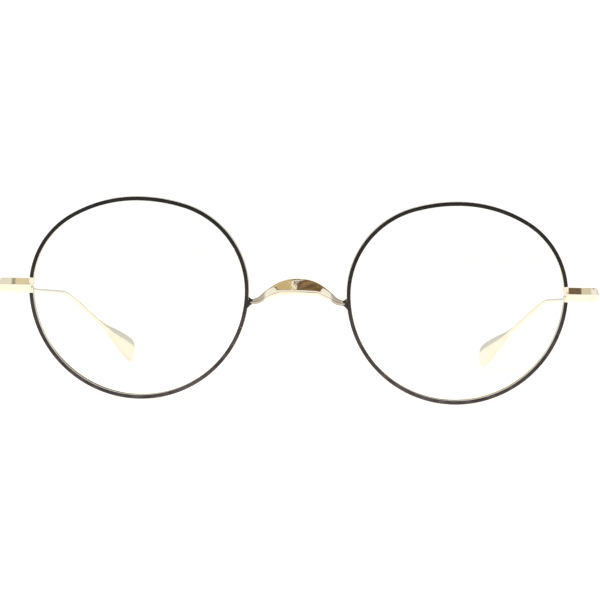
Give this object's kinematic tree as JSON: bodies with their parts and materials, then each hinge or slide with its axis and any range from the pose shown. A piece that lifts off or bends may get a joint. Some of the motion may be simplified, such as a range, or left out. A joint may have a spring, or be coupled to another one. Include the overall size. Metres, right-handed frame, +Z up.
{
  "type": "eyeglasses frame",
  "caption": "Round metal eyeglasses frame with lacquered rims, a saddle bridge, clear plano lenses and folding wire temples with paddle tips.",
  "frame": {"origin": "middle of the open frame's footprint on the table, at the height of the rims' lowest points and the paddle tips", "axes": "+Z up, the front faces -Y, the temples run back along +Y, and +X is the wearer's left"},
  "size_m": [0.1328, 0.1444, 0.0448],
  "materials": {
    "pale_gold": "polished pale champagne gold plating",
    "enamel": "glossy dark brown lacquer",
    "screw_steel": "fine turned, faintly gold",
    "lens": "clear, polished"
  },
  "bodies": {
    "front": {"saddle_bridge": "pale_gold", "left_eyewire": "pale_gold", "right_eyewire": "pale_gold", "left_rim_enamel": "enamel", "right_rim_enamel": "enamel", "left_lens": "lens", "right_lens": "lens", "left_endpiece": "pale_gold", "right_endpiece": "pale_gold", "left_upper_lock_block": "pale_gold", "right_upper_lock_block": "pale_gold", "left_lower_lock_block": "pale_gold", "right_lower_lock_block": "pale_gold", "left_lock_screw": "screw_steel", "right_lock_screw": "screw_steel", "left_front_hinge_leaf": "pale_gold", "right_front_hinge_leaf": "pale_gold", "left_hinge_screw": "screw_steel", "right_hinge_screw": "screw_steel"},
    "left_temple": {"left_temple": "pale_gold", "left_temple_hinge_leaf": "pale_gold"},
    "right_temple": {"right_temple": "pale_gold", "right_temple_hinge_leaf": "pale_gold"}
  },
  "joints": [
    {"name": "left_temple_fold", "type": "hinge", "parent": "front", "child": "left_temple", "pos_m": [0.06373, -0.06124, 0.02462], "axis": [0, 0.0385, 0.9993], "range_deg": [0, 85]},
    {"name": "right_temple_fold", "type": "hinge", "parent": "front", "child": "right_temple", "pos_m": [-0.06373, -0.06124, 0.02462], "axis": [0, -0.0385, -0.9993], "range_deg": [0, 78]}
  ]
}
